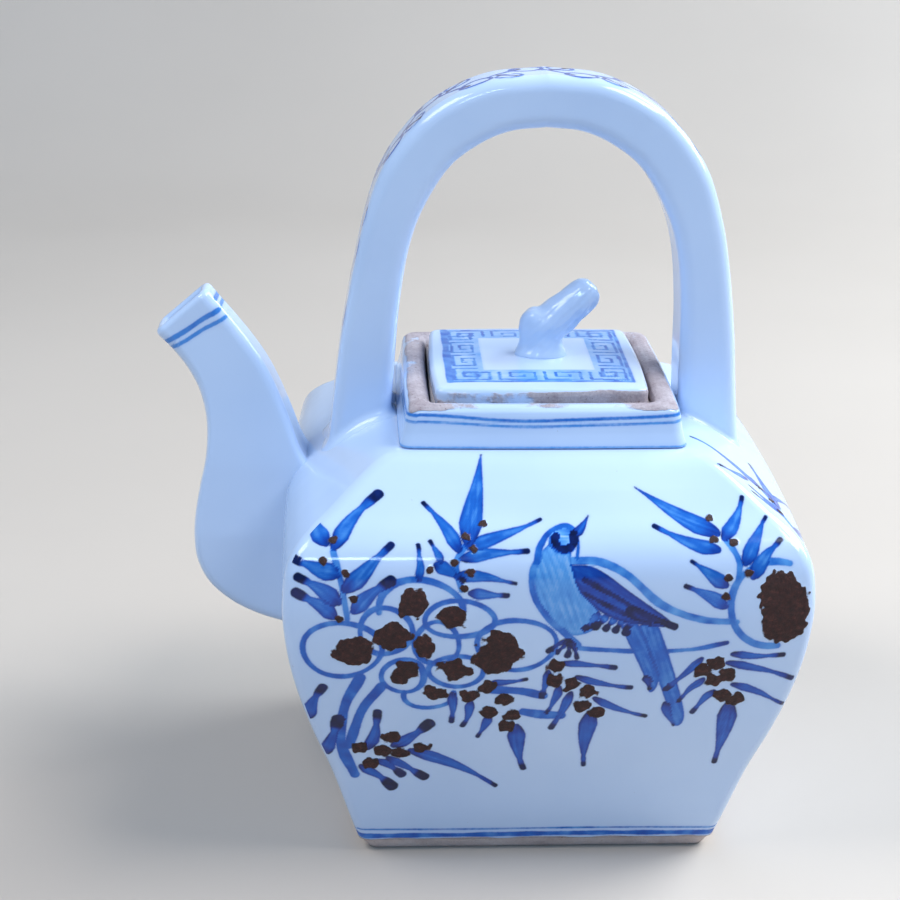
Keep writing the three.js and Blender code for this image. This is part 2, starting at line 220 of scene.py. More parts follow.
# ---- brush painting -----------------------------------------------------------------------
class Canvas:
    """Paint on a surface. Each stroke is kept as a distance to its edge, so edges stay crisp."""

    def __init__(self, across, up):
        self.across = across
        self.up = up
        self.ink = np.zeros(len(across))
        self.tone = np.zeros(len(across))
        self.iron = np.zeros(len(across))
        self.strokes = 0

    def near(self, points, margin):
        low = np.min(points, axis=0) - margin
        high = np.max(points, axis=0) + margin
        inside = (self.across >= low[0]) & (self.across <= high[0])
        return np.nonzero(inside & (self.up >= low[1]) & (self.up <= high[1]))[0]

    def lay(self, pick, distance, tone):
        """Cobalt where distance (mm, negative inside the stroke) is below zero."""
        field = np.clip(0.5 - distance / (2 * BRUSH_EDGE), 0, 1)
        old = self.ink[pick]
        tone = np.clip(np.broadcast_to(tone, field.shape), 0.02, 1)
        darker = np.where(old >= 0.5, np.maximum(tone, self.tone[pick]), tone)
        wins = (field >= 0.5) | (field > old)
        self.tone[pick] = np.where(wins, darker, self.tone[pick])
        self.ink[pick] = np.maximum(old, field)
        self.strokes += 1

    def leaf(self, base, tip, width, tone=0.42, peak=0.2, ball=0.6):
        """A brush pressed at the base and lifted away, ending in a dark pool of `ball` mm."""
        base, tip = np.array(base, float), np.array(tip, float)
        length = np.linalg.norm(tip - base)
        along = (tip - base) / length
        side = np.array([-along[1], along[0]])
        pick = self.near([base, tip], width + 2)
        rel = np.column_stack([self.across[pick], self.up[pick]]) - base
        t = rel @ along / length
        inside = np.clip(t, 0, 1)
        sway = 0.05 * length * np.sin(math.pi * inside) * math.sin(5.1 * self.strokes)
        lateral = rel @ side - sway - 0.15 * ripple(inside * 10, inside, 7, self.strokes)
        swelling = 0.35 + 0.65 * np.clip(inside / peak, 0, 1) ** 0.6
        lifting = np.clip((1 - inside) / (1 - peak), 0, 1)
        taper = np.where(inside < peak, swelling, 0.5 * lifting + 0.5 * ease(0, 1, lifting))
        ball = ball * (1 + 0.2 * math.sin(3.7 * self.strokes))
        half = np.maximum(width / 2 * taper + 0.2, ball * ease(0.35, 0.9, t))
        overrun = (t - inside) * length
        distance = np.where(overrun == 0, np.abs(lateral), np.hypot(lateral, overrun * 1.3)) - half
        pool = np.hypot(lateral * 0.5, (t - 1) * length) - 1.8 * ball
        bristle = 0.07 * ripple(t * length * 0.25, lateral * 2.2, 2.6, self.strokes)
        pooled = 0.18 * ease(0.5, 1.0, np.abs(lateral) / half) + 0.26 * ease(0.25, 0.0, t)
        dark = ease(0.8, -0.5, pool)
        lifted = tone + bristle + pooled + 0.15 * ease(0.6, 1, t)
        self.lay(pick, distance, lifted * (1 - dark) + 0.97 * dark)

    def line(self, points, width, tone=0.5, steps=40, dark=0.0):
        """A drawn line of nearly even width, smooth through its points."""
        curve = smooth_curve(points, steps) if len(points) > 2 else np.array(points, float)
        pick = self.near(curve, width + 2)
        p = np.column_stack([self.across[pick], self.up[pick]])
        distance = np.full(len(pick), 1e3)
        share = np.zeros(len(pick))
        for k in range(len(curve) - 1):
            a, d = curve[k], curve[k + 1] - curve[k]
            t = np.clip((p - a) @ d / max(d @ d, 1e-9), 0, 1)
            far = np.linalg.norm(p - a - t[:, None] * d, axis=1)
            share = np.where(far < distance, (k + t) / (len(curve) - 1), share)
            distance = np.minimum(distance, far)
        press = 0.5 * width * (1 + 0.18 * ripple(p[:, 0], p[:, 1], 14, self.strokes))
        streak = 0.08 * ripple(p[:, 0], p[:, 1], 5, self.strokes + 50)
        self.lay(pick, distance - press, tone + streak + dark * ease(0.85, 1, share))

    def ring(self, centre, radii, width, tone=0.45, turn=0.0, start=0.0, end=360.0):
        """An outlined petal: an ellipse, or part of one from `start` to `end` degrees."""
        angle = np.radians(np.linspace(start, end, 40))
        wobble = 1 + 0.03 * np.sin(3 * angle + self.strokes)
        x, y = radii[0] * wobble * np.cos(angle), radii[1] * wobble * np.sin(angle)
        c, s = math.cos(math.radians(turn)), math.sin(math.radians(turn))
        self.line(
            np.column_stack([centre[0] + c * x - s * y, centre[1] + s * x + c * y]),
            width, tone, steps=56,
        )

    def wash(self, outline, tone, streaks=0.0, direction=0.0, steps=60):
        """A filled shape with brush streaks running along `direction` degrees."""
        curve = smooth_curve([*outline, outline[0]], steps)
        pick = self.near(curve, 2)
        p = np.column_stack([self.across[pick], self.up[pick]])
        distance = np.full(len(pick), 1e3)
        inside = np.zeros(len(pick), bool)
        for a, b in zip(curve[:-1], curve[1:]):
            d = b - a
            t = np.clip((p - a) @ d / max(d @ d, 1e-9), 0, 1)
            distance = np.minimum(distance, np.linalg.norm(p - a - t[:, None] * d, axis=1))
            spans = (a[1] > p[:, 1]) != (b[1] > p[:, 1])
            cross = a[0] + (p[:, 1] - a[1]) * d[0] / (d[1] if abs(d[1]) > 1e-9 else 1e-9)
            inside ^= spans & (p[:, 0] < cross)
        distance = np.where(inside, -distance, distance)
        angle = math.radians(direction)
        off = -p[:, 0] * math.sin(angle) + p[:, 1] * math.cos(angle)
        on = p[:, 0] * math.cos(angle) + p[:, 1] * math.sin(angle)
        brushed = 1.6 * streaks * ripple(on * 0.22, off * 2.0, 2.6, self.strokes)
        self.lay(pick, distance, tone + brushed + 0.14 * ease(-1.0, 0.0, distance))

    def crust(self, centre, radii, rough=0.6):
        """A dab of iron paint with a ragged edge."""
        pick = self.near([centre], max(radii) + 3)
        x, y = self.across[pick] - centre[0], self.up[pick] - centre[1]
        reach = np.hypot(x / radii[0], y / radii[1])
        lobes = ripple(x, y, 1.5 * max(radii), self.strokes) * 0.22 * min(radii)
        ragged = ripple(x, y, 3.0, self.strokes + 5) + 0.6 * ripple(x, y, 1.6, self.strokes + 9)
        distance = (reach - 1) * min(radii) - lobes - rough * 0.6 * ragged
        field = np.clip(0.5 - distance / (2 * BRUSH_EDGE), 0, 1)
        self.iron[pick] = np.maximum(self.iron[pick], field)
        self.strokes += 1

    def dots(self, places, size):
        for x, y in places:
            self.crust((x, y), (size, size * 0.9), rough=0.16 * size)


def bamboo(canvas, leaves, dots, stem=None, ball=0.65):
    """A bamboo spray: [base, tip, width] leaves, its stem and the dots at its joints."""
    if stem:
        canvas.line(stem, 1.6, 0.34)
    for base, tip, width in leaves:
        canvas.leaf(base, tip, width, ball=POINTED if width >= 5 else ball)
    canvas.dots(dots, 1.15)


def berries(canvas, leaves, fruit, stems=(), ball=0.75):
    """A hanging sprig: slim leaves fanned below a bunch of berries."""
    for stem in stems:
        canvas.line(stem, 2.6, 0.5)
    for base, tip, width in leaves:
        canvas.leaf(base, tip, width, tone=0.54, ball=ball)
    canvas.dots(fruit, 2.35)


def bird(canvas):
    """A long-tailed bird on a branch, looking over its shoulder."""
    canvas.wash([(0, 98), (-3.5, 94), (-4.5, 88), (-2.5, 80), (3, 74), (8, 73), (13, 77), (9, 84),
                 (5, 92), (4.5, 96)], 0.23, streaks=0.045, direction=112)
    canvas.line([(-3, 94), (-5, 90), (-4.5, 84), (-1, 78), (3, 74), (7, 70)], 1.8, 0.42)
    canvas.wash([(4.5, 92), (11, 91), (20, 84.5), (31, 75.5), (21, 76), (13, 79), (7, 85)],
                0.64, streaks=0.05, direction=-33)
    for lift in (0.0, 3.4):
        canvas.line([(8, 88 - lift), (16, 83.5 - lift), (25, 77.5 - lift * 0.5)], 1.3, 0.9)
    canvas.leaf((19, 80), (31.5, 75), 3.0, tone=0.85, ball=1.0)
    canvas.line([(5, 93), (12, 92.5), (19, 89), (28, 81), (38, 77), (47, 76)], 1.9, 0.33)
    canvas.wash([(-1, 97), (0, 101), (3.5, 102.3), (6.5, 100), (5.5, 95.5), (2, 94.5)], 0.24, streaks=0.1)
    canvas.line([(-4, 92.5), (-3, 96.5), (-0.5, 100.5), (3.5, 102.5), (6, 101)], 1.5, 0.5)
    canvas.ring((3.2, 98.2), (2.4, 2.4), 2.0, 0.93, start=150, end=385)
    canvas.leaf((5.6, 97), (5.6, 100.5), 1.8, tone=0.85, ball=0.9)
    canvas.leaf((5.5, 99.5), (9.6, 105.5), 2.4, tone=0.62, peak=0.2, ball=0.25)
    canvas.line([(6.4, 100), (6.6, 97), (6.2, 93.5)], 0.9, 0.5)
    for k in range(5):
        canvas.leaf((12 + 2.2 * k, 79 - 0.5 * k), (8.5 + 2.6 * k, 75.2 - 0.6 * abs(k - 1)), 1.8, ball=1.1)
    for side, end in ((0.0, (26.5, 54.5)), (4.8, (34, 42.5))):
        canvas.wash([(17.5 + side, 75.5), (22.3 + side, 75.5), (end[0] + 1.8, end[1] + 6), end,
                     (end[0] - 2.4, end[1] + 6.5)], 0.42, streaks=0.04, direction=-72)
    canvas.leaf((25, 60), (26.2, 55.8), 2.4, tone=0.7, ball=0.6)
    canvas.leaf((30.5, 51), (33.5, 42.8), 2.4, tone=0.6, ball=0.35)
    for reach in (-2.0, 0.5, 3.0, 5.5):
        canvas.leaf((5, 71.5), (1.5 + reach, 67.6 - 0.3 * reach), 1.3, tone=0.8, ball=0.8)


def blossoms(canvas):
    """A cluster of outlined petals, each with an iron-brown heart."""
    petals = [((-52.5, 68.5), (10, 8)), ((-41.5, 74), (6.6, 6.6)), ((-23, 77.5), (8.8, 5.0)),
              ((-28.5, 70.5), (5.6, 6.2)), ((-37, 60.5), (5.4, 5.2)), ((-23.5, 62), (7, 4.8)),
              ((-8.5, 70), (10, 7.4))]
    for centre, radii in petals:
        canvas.ring(centre, radii, 1.5, 0.44)
    canvas.ring((-33, 80), (10.5, 8.2), 1.9, 0.42, start=0, end=185)
    canvas.ring((-30.5, 54.5), (6.5, 4.6), 1.4, 0.44, start=170, end=370)
    hearts = [((-34.5, 82), (3.5, 4.0)), ((-49.5, 68), (5.0, 4.2)), ((-39.5, 72.5), (4.6, 4.4)),
              ((-31.8, 70), (2.5, 3.8)), ((-25, 77.5), (3.5, 3.3)), ((-13.2, 67.6), (6.0, 6.0)),
              ((-36.5, 62), (3.8, 3.0)), ((-24.5, 62.5), (4.2, 3.1)), ((-29.3, 55.3), (3.2, 2.4))]
    for centre, radii in hearts:
        canvas.crust(centre, radii)


def base_lines(canvas):
    """The thin and the thick line round the foot of every wall."""
    edge = wall_half(0.0) + 2
    canvas.line([(-edge, 4.1), (-20, 3.8), (15, 4.0), (edge, 3.6)], 0.6, 0.38)
    canvas.line([(-edge, 1.5), (-20, 1.6), (15, 1.9), (edge, 1.6)], 1.7, 0.45)


def paint_front(canvas):
    base_lines(canvas)
    bamboo(
        canvas,
        [((-56, 97), (-63.5, 107), 4.5), ((-54.5, 96), (-43, 111.5), 4.0),
         ((-53.5, 89), (-64.5, 93), 4.5), ((-53, 82), (-63.5, 88.5), 4.5),
         ((-54, 78), (-64, 84.5), 4.0), ((-51.5, 85), (-40, 97), 4.6),
         ((-49.5, 79.5), (-40, 88), 4.2)],
        [(-54.5, 98), (-51.5, 89.5), (-49.5, 83), (-53, 77.5), (-57, 92.5)],
        stem=[(-54.5, 95), (-52.5, 87), (-51, 77.5)],
        ball=1.25,
    )
    bamboo(
        canvas,
        [((-21, 97.5), (-16.5, 124.5), 5.6), ((-23, 95.5), (-32, 109), 3.4),
         ((-21, 96.5), (-2.5, 104.5), 3.6), ((-22.5, 93.5), (-6, 95.5), 3.2),
         ((-24, 89), (-9, 87), 3.0), ((-20.5, 84.5), (-11, 84), 2.8),
         ((-33, 88), (-33.5, 97), 2.0), ((-27.5, 92.5), (-30.5, 98), 1.8),
         ((-29, 92), (-22, 88), 3.4)],
        [(-17, 103), (-21.5, 99.5), (-19.5, 96), (-24.5, 92.5), (-20.5, 90), (-30.5, 90.5),
         (-22, 86)],
        stem=[(-21.5, 97), (-24, 92), (-22.5, 85.5)],
    )
    blossoms(canvas)
    berries(
        canvas,
        [((-61.5, 46), (-57.5, 57), 3.6), ((-57, 33), (-53.5, 46), 3.4),
         ((-46, 35), (-43.5, 48.5), 3.4), ((-39.5, 36), (-30, 44.5), 3.6),
         ((-41, 31.5), (-31, 24), 2.6), ((-43.5, 30.5), (-37, 25), 2.6),
         ((-48, 28.5), (-39.5, 20.5), 2.8)],
        [(-48, 35.5), (-40, 39.5), (-42, 34), (-37.5, 33.5), (-32, 35.5), (-45.5, 29.5)],
        stems=[[(-48, 60), (-52, 50), (-53, 37), (-49.5, 25)], [(-42.5, 57), (-47.5, 49), (-51, 36)]],
        ball=1.55,
    )
    berries(
        canvas,
        [((-24.5, 55), (-24.5, 45), 2.4), ((-19.5, 52), (-21.5, 43.5), 2.4),
         ((-14.5, 47), (-17.5, 39.5), 2.4), ((-7.5, 43.5), (-5, 27), 4.6),
         ((-14.5, 58.5), (-5.5, 59.5), 1.8)],
        [(-20, 54), (-15.5, 57), (-11, 52.5), (-15, 48.5), (-9, 47.5), (-10, 43.5)],
        stems=[[(-14, 56), (-7, 55.5), (-1, 54)], [(-6, 48.5), (-1, 47.5), (4, 47)]],
    )
    canvas.leaf((-35, 34.5), (-12, 20.5), 3.8, tone=0.48, ball=0.8)
    canvas.line([(7.5, 69), (13, 68.5), (24, 67.8), (36, 68.2), (45, 70)], 1.3, 0.4, dark=0.4)
    bird(canvas)
    berries(
        canvas,
        [((3, 64.5), (17, 63), 1.8), ((7, 60), (21.5, 56.5), 2.0), ((12, 53), (26, 46.5), 2.2),
         ((0, 62), (-1.5, 53.5), 2.2), ((3, 57), (0, 48), 2.2), ((6, 55), (1.5, 42.5), 2.4),
         ((11.5, 48), (11, 28), 4.6)],
        [(1.5, 63.5), (1.5, 59), (6, 57.5), (10.5, 55), (9, 50.5), (12.8, 48)],
    )
    bamboo(
        canvas,
        [((42, 99.5), (22, 113.5), 5.0), ((42, 95), (26, 102), 3.6),
         ((44, 86), (35, 92.5), 3.6), ((44, 80.5), (33.5, 86), 3.6),
         ((43.5, 98), (49.5, 110), 3.6), ((48.5, 91.5), (55, 104), 3.8),
         ((50.5, 88), (58, 97.5), 3.8)],
        [(40.5, 104), (41, 98), (46, 97), (44.5, 88), (44, 83), (49.5, 89)],
        stem=[(44, 98), (47, 92), (46.5, 85.5)],
    )
    canvas.ring((57, 80.5), (12, 11.5), 1.9, 0.35, start=75, end=275)
    canvas.crust((59.5, 79.5), (6.6, 9.4), rough=1.0)
    berries(
        canvas,
        [((46.5, 66.5), (60, 66), 2.0), ((45.5, 64), (63, 58.5), 2.2), ((47.5, 57), (62, 49.5), 2.2),
         ((39, 65.5), (30.5, 55.5), 2.0), ((40, 59), (34, 51.5), 2.0), ((43, 55), (38, 47.5), 2.0),
         ((47.5, 50.5), (46, 28.5), 5.0)],
        [(42.5, 64), (39.5, 61.5), (42.5, 58.5), (46, 60), (45.5, 53.5), (48.5, 52)],
    )


def paint_rear(canvas):
    base_lines(canvas)
    bamboo(
        canvas,
        [((-40, 104.5), (-27, 125), 3.0), ((-40, 110), (-43, 119), 2.6), ((-47, 101), (-22, 106), 2.8),
         ((-50, 101), (-44.5, 110), 2.6), ((-51, 101), (-48, 109.5), 2.2), ((-56, 97), (-47, 88), 3.0),
         ((-42, 103), (-36, 95), 3.0)],
        [(-40, 106), (-45, 103), (-50, 101)],
        stem=[(-36, 108), (-42, 104), (-52, 100), (-58, 95)],
    )
    canvas.ring((-46, 76), (8, 7), 1.5, 0.4)
    canvas.crust((-46, 76), (4.4, 4.0))
    berries(
        canvas,
        [((-30 + 9 * k, 62), (-36 + 13 * k, 44 + 4 * (k % 2)), 2.8) for k in range(4)],
        [(-28, 65), (-22, 63), (-15, 66), (-9, 62), (-3, 64)],
        stems=[[(-42, 68), (-22, 67), (6, 70), (28, 76)]],
    )
    bamboo(
        canvas,
        [((30, 78 + 4 * k), (44 + 4 * (k % 3), 84 + 7 * k), 3.6) for k in range(4)],
        [(30, 80), (31, 86), (30, 92)],
        stem=[(28, 76), (31, 86), (30, 96)],
    )


def paint_spout_side(canvas):
    base_lines(canvas)
    for side in (-1, 1):
        bamboo(
            canvas,
            [((side * 40, 62 + 4 * k), (side * (28 + 3 * (k % 2)), 68 + 5 * k), 3.4) for k in range(4)],
            [(side * 40, 64), (side * 41, 70), (side * 40, 76)],
            stem=[(side * 42, 56), (side * 40.5, 66), (side * 40, 80)],
        )
        canvas.ring((side * 48, 52), (8, 7), 1.4, 0.42)
        canvas.crust((side * 48, 52), (4.4, 4.0))
        berries(
            canvas,
            [((side * (42 - 6 * k), 42), (side * (40 - 9 * k), 26 + 3 * k), 3.0) for k in range(3)],
            [(side * 42, 45), (side * 36, 43), (side * 31, 45)],
        )


def paint_back(canvas):
    """The same flowers and leaves, arranged the other way round and without a bird."""
    base_lines(canvas)
    canvas.line([(58, 52), (40, 60), (14, 66), (-16, 72), (-44, 84)], 1.8, 0.4)
    for x, y, size in ((34, 66, 9.5), (20, 74, 7.5), (8, 64, 7.0), (24, 56, 7.0), (-50, 78, 10)):
        canvas.ring((x, y), (size, size * 0.8), 1.3, 0.42)
        canvas.crust((x, y), (size * 0.5, size * 0.45))
    for x, y in ((-22, 88), (48, 84)):
        bamboo(
            canvas,
            [((x, y), (x + 17 * math.cos(a), y + 17 * math.sin(a)), 4.2)
             for a in (0.2, 0.8, 1.5, 2.2, 2.9)],
            [(x + 2, y + 3), (x - 3, y + 2), (x, y - 2)],
            stem=[(x, y), (x + 1, y - 8), (x + 3, y - 16)],
        )
    for x, y in ((-14, 60), (-38, 62), (44, 46)):
        berries(
            canvas,
            [((x, y - 2), (x + 15 * math.cos(a), y + 15 * math.sin(a)), 2.8)
             for a in (-2.5, -1.9, -1.3, -0.6)],
            [(x, y), (x + 3, y - 3), (x - 3, y - 2), (x + 1, y - 6)],
        )


def paint_collar(canvas, level):
    """Two loose lines below the rim; `across` runs round the collar, one side after another."""
    dip = np.cos(canvas.across * 2 * math.pi / 72) * 0.9 + 0.25 * ripple(canvas.across, level, 30, 4)
    everywhere = np.arange(len(level))
    canvas.lay(everywhere, np.abs(level - 121.0 + dip) - 0.42, 0.38)
    canvas.lay(everywhere, np.abs(level - 119.4 + dip * 0.8) - 0.34, 0.3)
    canvas.lay(everywhere, np.abs(level - 113.6) - 0.2, 0.2)


FRET_HALF = 24.4
FRET_CENTRE = (0.3, 1.6)
FRET_WIDTH = 9.4
FRET_UNITS = 4


def paint_lid(canvas):
    """A border of square spirals inside a band of pale blue."""
    cx, cy = FRET_CENTRE
    unit = 2 * FRET_HALF / FRET_UNITS
    spiral = [(0.10, 0.82), (0.10, 0.16), (0.88, 0.16), (0.88, 0.78), (0.34, 0.78), (0.34, 0.42),
              (0.64, 0.42), (0.64, 0.56)]
    reach = np.maximum(np.abs(canvas.across - cx), np.abs(canvas.up - cy))
    ring = np.abs(reach - (FRET_HALF - FRET_WIDTH / 2)) - FRET_WIDTH / 2
    everywhere = np.arange(len(reach))
    cloud = 0.05 * ripple(canvas.across, canvas.up, 9, 3)
    canvas.lay(everywhere, ring, 0.1 + cloud)
    for side in range(4):
        c, s = round(math.cos(side * math.pi / 2)), round(math.sin(side * math.pi / 2))
        width = 2.0 if side == 3 else 1.0
        corners = [(-FRET_HALF, -FRET_HALF), (FRET_HALF, -FRET_HALF)]
        canvas.line([(cx + c * x - s * y, cy + s * x + c * y) for x, y in corners], width, 0.38)
        for k in range(FRET_UNITS):
            path = [(-FRET_HALF + unit * (k + a), -FRET_HALF + FRET_WIDTH * b) for a, b in spiral]
            path = [(cx + c * x - s * y, cy + s * x + c * y) for x, y in path]
            for start, end in zip(path[:-1], path[1:]):
                canvas.line([start, end], 0.8, 0.4)


def paint_handle(canvas):
    """A running scroll over the crown; `across` is across the handle, `up` runs along it."""
    for k, u in enumerate(range(-100, 48, 14)):
        side = 1 if k % 2 else -1
        canvas.line([(side * 2, u), (side * -1, u + 5), (side * -4.5, u + 9)], 1.3, 0.58, dark=0.3)
        canvas.ring((side * -3.8, u + 11), (3.0, 4.2), 1.2, 0.58, start=60, end=400)
        canvas.ring((side * 4.6, u + 6), (2.4, 3.4), 1.1, 0.5, start=20, end=330)
        canvas.leaf((side * 1.5, u + 3), (side * 6.0, u + 8), 1.6, tone=0.62)


# ---- meshes -------------------------------------------------------------------------------
def make(name, body, points, faces, material, canvas=None, bare=None):
    """One closed piece from points in millimetres about the pot's axis."""
    mesh = bpy.data.meshes.new(name)
    mesh.from_pydata((np.asarray(points) * MM + [AXIS_X, 0, 0]).tolist(), [], faces)
    tidy = bmesh.new()
    tidy.from_mesh(mesh)
    bmesh.ops.recalc_face_normals(tidy, faces=tidy.faces)
    tidy.to_mesh(mesh)
    tidy.free()
    mesh.shade_smooth()
    piece = bpy.data.objects.new(name, mesh)
    bpy.context.scene.collection.objects.link(piece)
    mesh.materials.append(material)
    if canvas is not None:
        keep_field(mesh, "ink", canvas.ink)
        keep_field(mesh, "tone", canvas.tone)
        keep_field(mesh, "iron", canvas.iron)
    if bare is not None:
        keep_field(mesh, "bare", bare)
    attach(piece, body)
    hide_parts(name)
    return piece


def keep_field(mesh, name, values):
    field = mesh.attributes.new(name, "FLOAT", "POINT")
    field.data.foreach_set("value", np.asarray(values, np.float32))


def grid_faces(rows, columns, start=0, closed=False):
    """Quads of a grid of points stored row by row; closed joins the last column to the first."""
    cells = columns if closed else columns - 1
    r, c = np.meshgrid(np.arange(rows - 1), np.arange(cells), indexing="ij")
    n = (c + 1) % columns
    quads = np.stack([r * columns + c, r * columns + n, (r + 1) * columns + n, (r + 1) * columns + c], -1)
    return (quads.reshape(-1, 4) + start).tolist()


def ring_to_ring(first, second, columns):
    """Quads between two closed rings of points, named by their first points."""
    return [[first + c, first + (c + 1) % columns, second + (c + 1) % columns, second + c]
            for c in range(columns)]


def zip_edges(first, second):
    """Triangles between two runs of points that have different numbers of points."""
    faces, i, j = [], 0, 0
    while i < len(first) - 1 or j < len(second) - 1:
        ahead = (i + 1) / (len(first) - 1) if i < len(first) - 1 else 2
        other = (j + 1) / (len(second) - 1) if j < len(second) - 1 else 2
        if ahead <= other:
            faces.append([first[i], first[i + 1], second[j]])
            i += 1
        else:
            faces.append([first[i], second[j + 1], second[j]])
            j += 1
    return faces


def turned(points, quarter):
    c, s = round(math.cos(quarter * math.pi / 2)), round(math.sin(quarter * math.pi / 2))
    x, y, z = points[:, 0], points[:, 1], points[:, 2]
    return np.column_stack([c * x - s * y, s * x + c * y, z])


def wall_skin(columns, rows):
    """Outside face of the front wall from corner mitre to corner mitre, with its painting grid."""
    run = np.linspace(0, WALL_LENGTH, rows + 1)
    half, level = wall_half(run)[:, None], wall_level(run)[:, None]
    share = np.linspace(-1, 1, columns + 1)
    turn = np.radians(np.linspace(0, 45, CORNER_STEPS + 1)[1:])
    flat = half - CORNER_RADIUS
    x = flat * share
    y = -(half + look_up(WALL_SWELL, level) * (1 - share**2))
    x_corner = flat + CORNER_RADIUS * np.sin(turn)
    y_corner = -(flat + CORNER_RADIUS * np.cos(turn))
    x = np.hstack([-x_corner[:, ::-1], x, x_corner])
    y = np.hstack([y_corner[:, ::-1], y, y_corner])
    z = np.broadcast_to(level, x.shape)
    up = np.broadcast_to(run[:, None], x.shape)
    return np.stack([x, y, z], -1), up


def skin_normals(skin):
    a = np.gradient(skin, axis=1)
    b = np.gradient(skin, axis=0)
    n = np.cross(a, b)
    return n / np.maximum(np.linalg.norm(n, axis=2, keepdims=True), 1e-12)


def wall(name, quarter, paint, material, columns, rows):
    skin, up = wall_skin(columns, rows)
    shape = skin.shape[:2]
    canvas = Canvas(skin[..., 0].ravel(), up.ravel())
    paint(canvas)
    proud = CRUST * ease(0.45, 0.7, canvas.iron) * (
        0.8 + 0.35 * ripple(canvas.across, canvas.up, 2.6, 31)
    )
    fade = np.ones(shape)
    fade[:, 0] = fade[:, -1] = 0
    outer = skin + skin_normals(skin) * (proud.reshape(shape) * fade)[..., None]

    run = np.linspace(0, WALL_LENGTH, INNER_ROWS + 1)
    slope = np.gradient(np.column_stack([wall_half(run), wall_level(run)]), run, axis=0)
    slope /= np.linalg.norm(slope, axis=1, keepdims=True)
    slope[-1] = (-1, 0)
    half = wall_half(run) - WALL_THICKNESS * slope[:, 1]
    level = wall_level(run) + WALL_THICKNESS * slope[:, 0]
    share = np.linspace(-1, 1, INNER_COLUMNS + 1)
    x = half[:, None] * share
    inner = np.stack(
        [x, np.broadcast_to(-half[:, None], x.shape), np.broadcast_to(level[:, None], x.shape)], -1
    )

    points = turned(np.vstack([outer.reshape(-1, 3), inner.reshape(-1, 3)]), quarter)
    first = np.arange(shape[0] * shape[1]).reshape(shape)
    second = np.arange(inner.shape[0] * inner.shape[1]).reshape(inner.shape[:2]) + first.size
    faces = grid_faces(*shape) + grid_faces(*inner.shape[:2], start=first.size)
    for edge in (np.s_[0, :], np.s_[-1, :], np.s_[:, 0], np.s_[:, -1]):
        faces += zip_edges(first[edge].tolist(), second[edge].tolist())
    pad = second.size
    for field in ("ink", "tone", "iron"):
        setattr(canvas, field, np.concatenate([getattr(canvas, field), np.zeros(pad)]))
    bare = ease(0.9, 0.1, np.concatenate([canvas.up, np.full(pad, 9.0)])
                + 0.3 * ripple(points[:, 0], points[:, 1], 12, 7))
    piece = make(name, "pot", points, faces, material, canvas, bare)
    match_corners(piece, quarter, first)
    return piece


def match_corners(piece, quarter, first):
    """Gives both sides of each upright corner the same shading where the walls meet."""
    mesh = piece.data
    normals = np.zeros((len(mesh.vertices), 3), np.float32)
    smooth = np.array([n.vector[:] for n in mesh.vertex_normals])
    for column, sign in ((0, -1), (-1, 1)):
        edge = first[:, column]
        across = turned(np.array([[1.0, sign, 0.0]]) / math.sqrt(2), quarter)[0]
        flat = smooth[edge] - np.outer(smooth[edge] @ across, across)
        normals[edge] = flat / np.linalg.norm(flat, axis=1, keepdims=True)
    mesh.normals_split_custom_set_from_vertices(normals.tolist())


def square_lathe(outline, corner, swell, side_steps, corner_steps, closed=True):
    """A round-cornered square turned from an outline; returns points, faces and the run round it."""
    outline = np.array(outline, float)
    rings, runs = [], []
    for half, level in outline:
        radius = min(corner, half)
        flat = half - radius
        share = np.linspace(-1, 1, side_steps + 1)[:-1]
        turn = np.radians(np.linspace(0, 90, corner_steps + 1)[:-1])
        bulge = swell * (1 - share**2) * ease(0, 20, flat)
        side = np.column_stack([flat * share, -(half + bulge)])
        bend = np.column_stack([flat + radius * np.sin(turn), -flat - radius * np.cos(turn)])
        quarter = np.vstack([side, bend])
        ring = []
        for k in range(4):
            whole = turned(np.column_stack([quarter, np.full(len(quarter), level)]), k)
            ring.append(whole)
        rings.append(np.vstack(ring))
        runs.append(np.concatenate([quarter[:, 0] + 2 * half * k for k in range(4)]))
    columns = len(rings[0])
    points = np.vstack(rings)
    faces = grid_faces(len(rings), columns, closed=True)
    if closed:
        faces += ring_to_ring((len(rings) - 1) * columns, 0, columns)
    return points, faces, np.concatenate(runs)


def dense(outline, spacing, closed=False):
    """Straight-line outline with extra points no further apart than the spacing."""
    outline = list(outline) + ([outline[0]] if closed else [])
    out = []
    for a, b in zip(outline[:-1], outline[1:]):
        n = max(1, math.ceil(math.dist(a, b) / spacing))
        out += [(a[0] + (b[0] - a[0]) * k / n, a[1] + (b[1] - a[1]) * k / n) for k in range(n)]
    return out if closed else out + [outline[-1]]


def section(half_thick, half_deep, radius, thick_steps, deep_steps, corner_steps=5):
    """Round-cornered oblong of a handle or spout, [thick, deep] offsets going round once."""
    radius = min(radius, half_thick * 0.95, half_deep * 0.95)
    a, b = half_thick - radius, half_deep - radius
    out = []
    for k, (cx, cy) in enumerate(((a, b), (-a, b), (-a, -b), (a, -b))):
        turn = np.radians(np.linspace(0, 90, corner_steps + 1)) + k * math.pi / 2
        out += [(cx + radius * math.cos(t), cy + radius * math.sin(t)) for t in turn]
        nx, ny = ((-a, b), (-a, -b), (a, -b), (a, b))[k]
        end = (out[-1][0], out[-1][1])
        stop = (nx + radius * math.cos(turn[-1]), ny + radius * math.sin(turn[-1]))
        side_steps = deep_steps if k % 2 else thick_steps
        for j in range(1, side_steps):
            w = j / side_steps
            out.append((end[0] + (stop[0] - end[0]) * w, end[1] + (stop[1] - end[1]) * w))
    return np.array(out)


